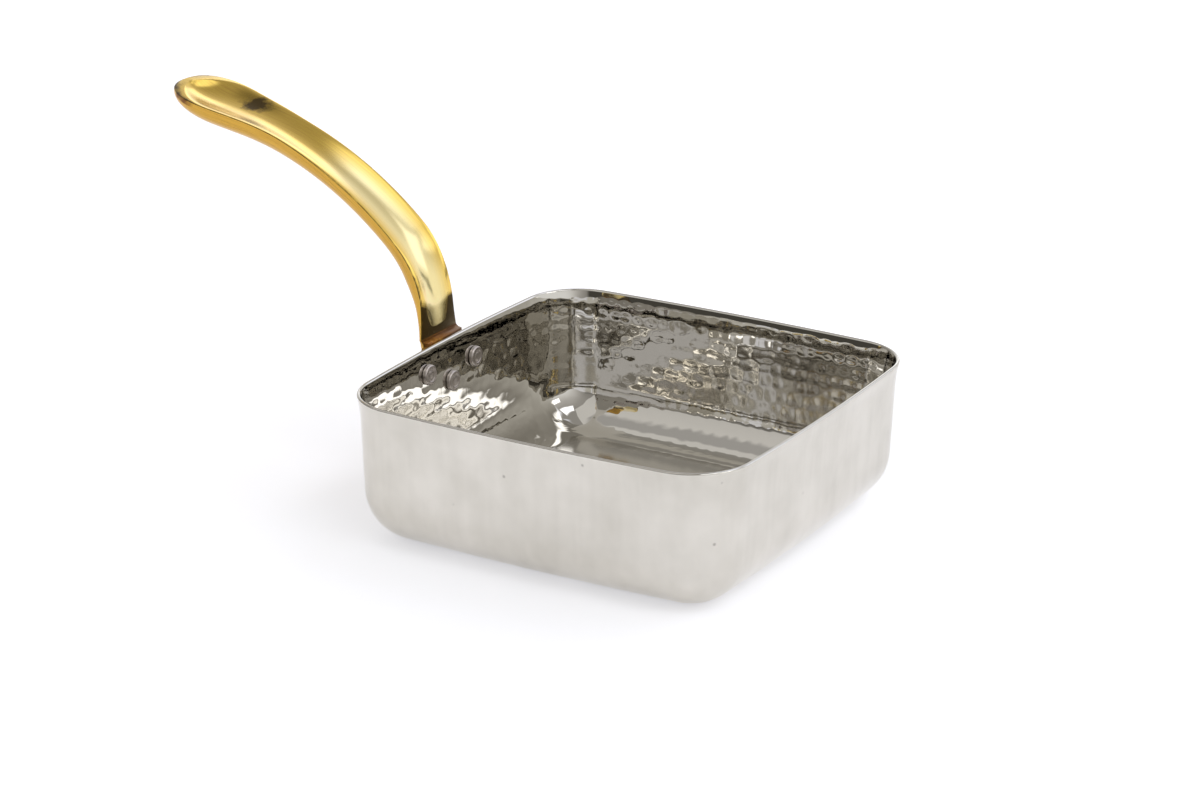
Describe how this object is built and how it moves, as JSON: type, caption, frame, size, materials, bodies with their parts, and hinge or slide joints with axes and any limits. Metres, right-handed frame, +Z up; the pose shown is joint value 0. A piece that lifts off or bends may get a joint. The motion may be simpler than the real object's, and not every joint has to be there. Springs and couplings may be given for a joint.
{
  "type": "square frying pan",
  "caption": "Small square frying pan with convex sides, rounded corners and a dished brass handle that rises from a flange riveted to one wall.",
  "frame": {"origin": "middle of the base's flat face, on the surface the pan rests on", "axes": "+Z up; the handle leaves the wall towards -X and lies in the XZ plane; +Y across the pan"},
  "size_m": [0.2266, 0.1306, 0.1131],
  "materials": {
    "hammered_stainless_steel": "hand-hammered and mirror-polished sheet",
    "polished_cast_brass": "cast, filed and polished, darker in the hollows",
    "rivet_stainless_steel": "pressed rivet heads, lightly polished"
  },
  "bodies": {
    "root": {"pan_body": "hammered_stainless_steel", "handle": "polished_cast_brass", "rivet_left": "rivet_stainless_steel", "rivet_right": "rivet_stainless_steel", "rivet_lower": "rivet_stainless_steel"}
  },
  "joints": []
}
